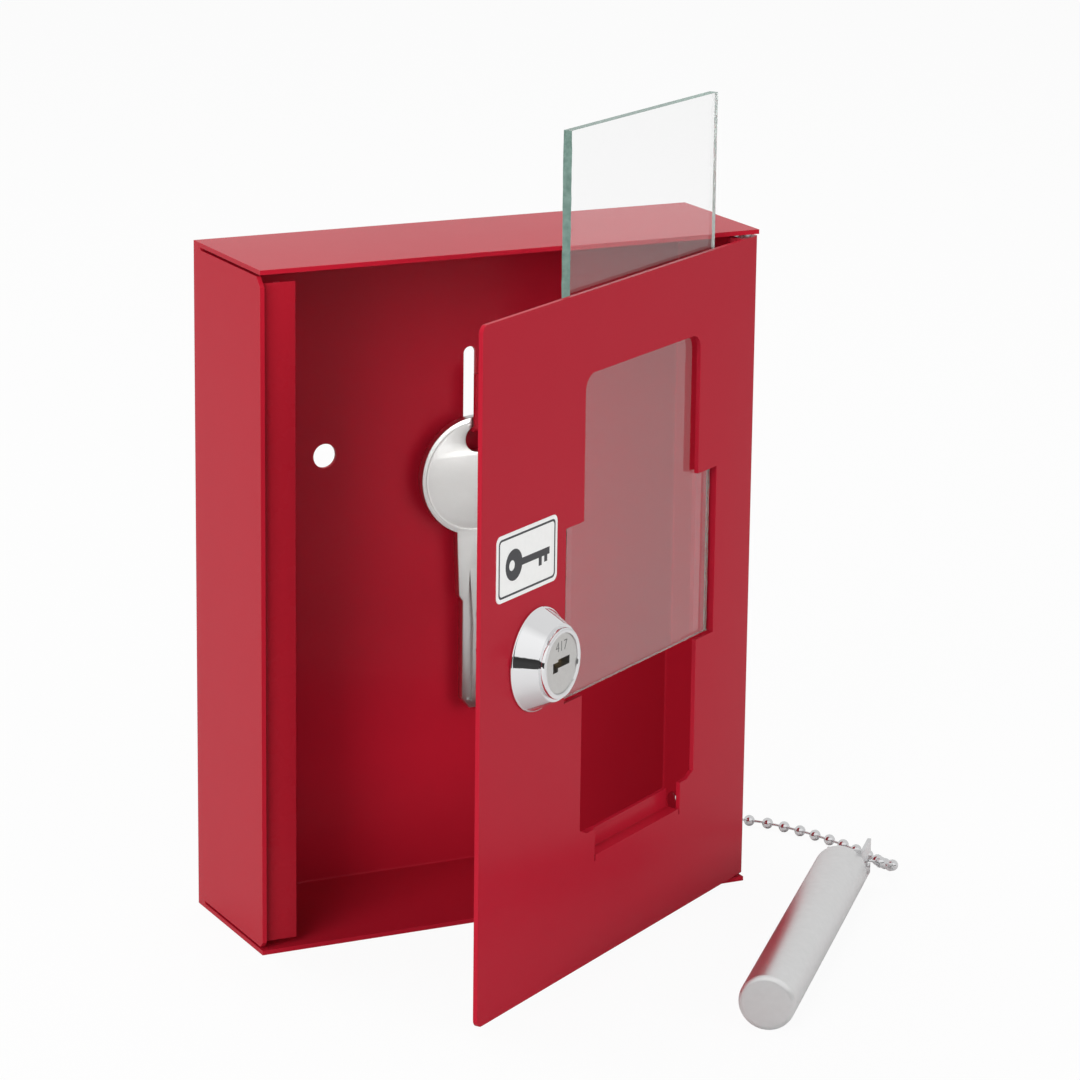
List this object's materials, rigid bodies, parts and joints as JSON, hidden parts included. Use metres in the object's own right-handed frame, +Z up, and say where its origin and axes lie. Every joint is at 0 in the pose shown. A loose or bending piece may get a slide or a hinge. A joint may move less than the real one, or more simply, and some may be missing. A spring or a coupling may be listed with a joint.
{
  "type": "break glass key box",
  "caption": "Red sheet-steel emergency key box with its hinged door ajar, a loose glass pane half raised, a key on the hook inside and a chained metal striker lying in front",
  "frame": {"origin": "centre of the case's underside", "axes": "+X to the right as seen from the front, +Y back into the wall, +Z up"},
  "size_m": [0.1521, 0.1247, 0.1821],
  "materials": {
    "case_red": "semi-gloss red powder coat",
    "door_red": "semi-gloss red powder coat with light edges",
    "zinc_steel": "bright zinc plating",
    "lock_chrome": "polished chrome",
    "plug_steel": "satin nickel face with an engraved number",
    "wafer_brass": "plain stamped brass",
    "label_white": "white film with a thin dark frame and a plain key sign",
    "pane_glass": "clear float glass with greenish cut edges",
    "key_nickel": "nickel silver, finely brushed",
    "striker_aluminium": "satin bar with a turned end",
    "clip_steel": "bright plated sheet",
    "chain_chrome": "bright nickel beads"
  },
  "bodies": {
    "case": {"case_shell": "case_red", "latch_strip": "case_red", "chain_eyelet": "zinc_steel", "chain_end_stop": "zinc_steel"},
    "hinge_pins": {"hinge_pin_top": "zinc_steel", "hinge_pin_bottom": "zinc_steel"},
    "door": {"door_panel": "door_red", "lock_rosette": "lock_chrome", "lock_housing": "lock_chrome", "lock_washer": "zinc_steel", "lock_nut": "zinc_steel", "door_label": "label_white"},
    "lock_core": {"lock_plug": "plug_steel", "lock_wafers": "wafer_brass", "wafer_springs": "zinc_steel", "cam_lever": "zinc_steel", "cam_washer": "zinc_steel", "cam_screw": "zinc_steel"},
    "pane": {"glass_pane": "pane_glass"},
    "key": {"emergency_key": "key_nickel"},
    "striker_set": {"striker": "striker_aluminium", "striker_clip": "clip_steel", "striker_rivet": "zinc_steel", "chain_coupling": "chain_chrome", "ball_chain": "chain_chrome"}
  },
  "joints": [
    {"name": "door_close", "type": "hinge", "parent": "case", "child": "hinge_pins", "pos_m": [0.056, -0.016, 0.075], "axis": [0, 0, 1], "range_deg": [-12, 0]},
    {"name": "door_swing", "type": "hinge", "parent": "hinge_pins", "child": "door", "pos_m": [0.056, -0.016, 0.075], "axis": [0, 0, 1], "range_deg": [-21, 62]},
    {"name": "pane_slide", "type": "slide", "parent": "door", "child": "pane", "axis": [0, 0, 1], "range_m": [-0.0375, 0]},
    {"name": "lock_turn", "type": "hinge", "parent": "door", "child": "lock_core", "pos_m": [-0.01843, -0.06791, 0.0748], "axis": [-0.5446, 0.8387, 0], "range_deg": [0, 90]},
    {"name": "key_swing", "type": "hinge", "parent": "case", "child": "key", "pos_m": [0.0069, 0.0145, 0.10092], "axis": [0, 1, 0], "range_deg": [-12, 12]},
    {"name": "striker_swing", "type": "hinge", "parent": "case", "child": "striker_set", "pos_m": [0.059, 0.006, 0.012], "axis": [0, 0, 1], "range_deg": [-10.85, 32], "deforming": ["ball_chain"]}
  ],
  "couplings": [
    {"joint": "striker_swing", "follows": "door_swing", "ratio": 0.516}
  ]
}
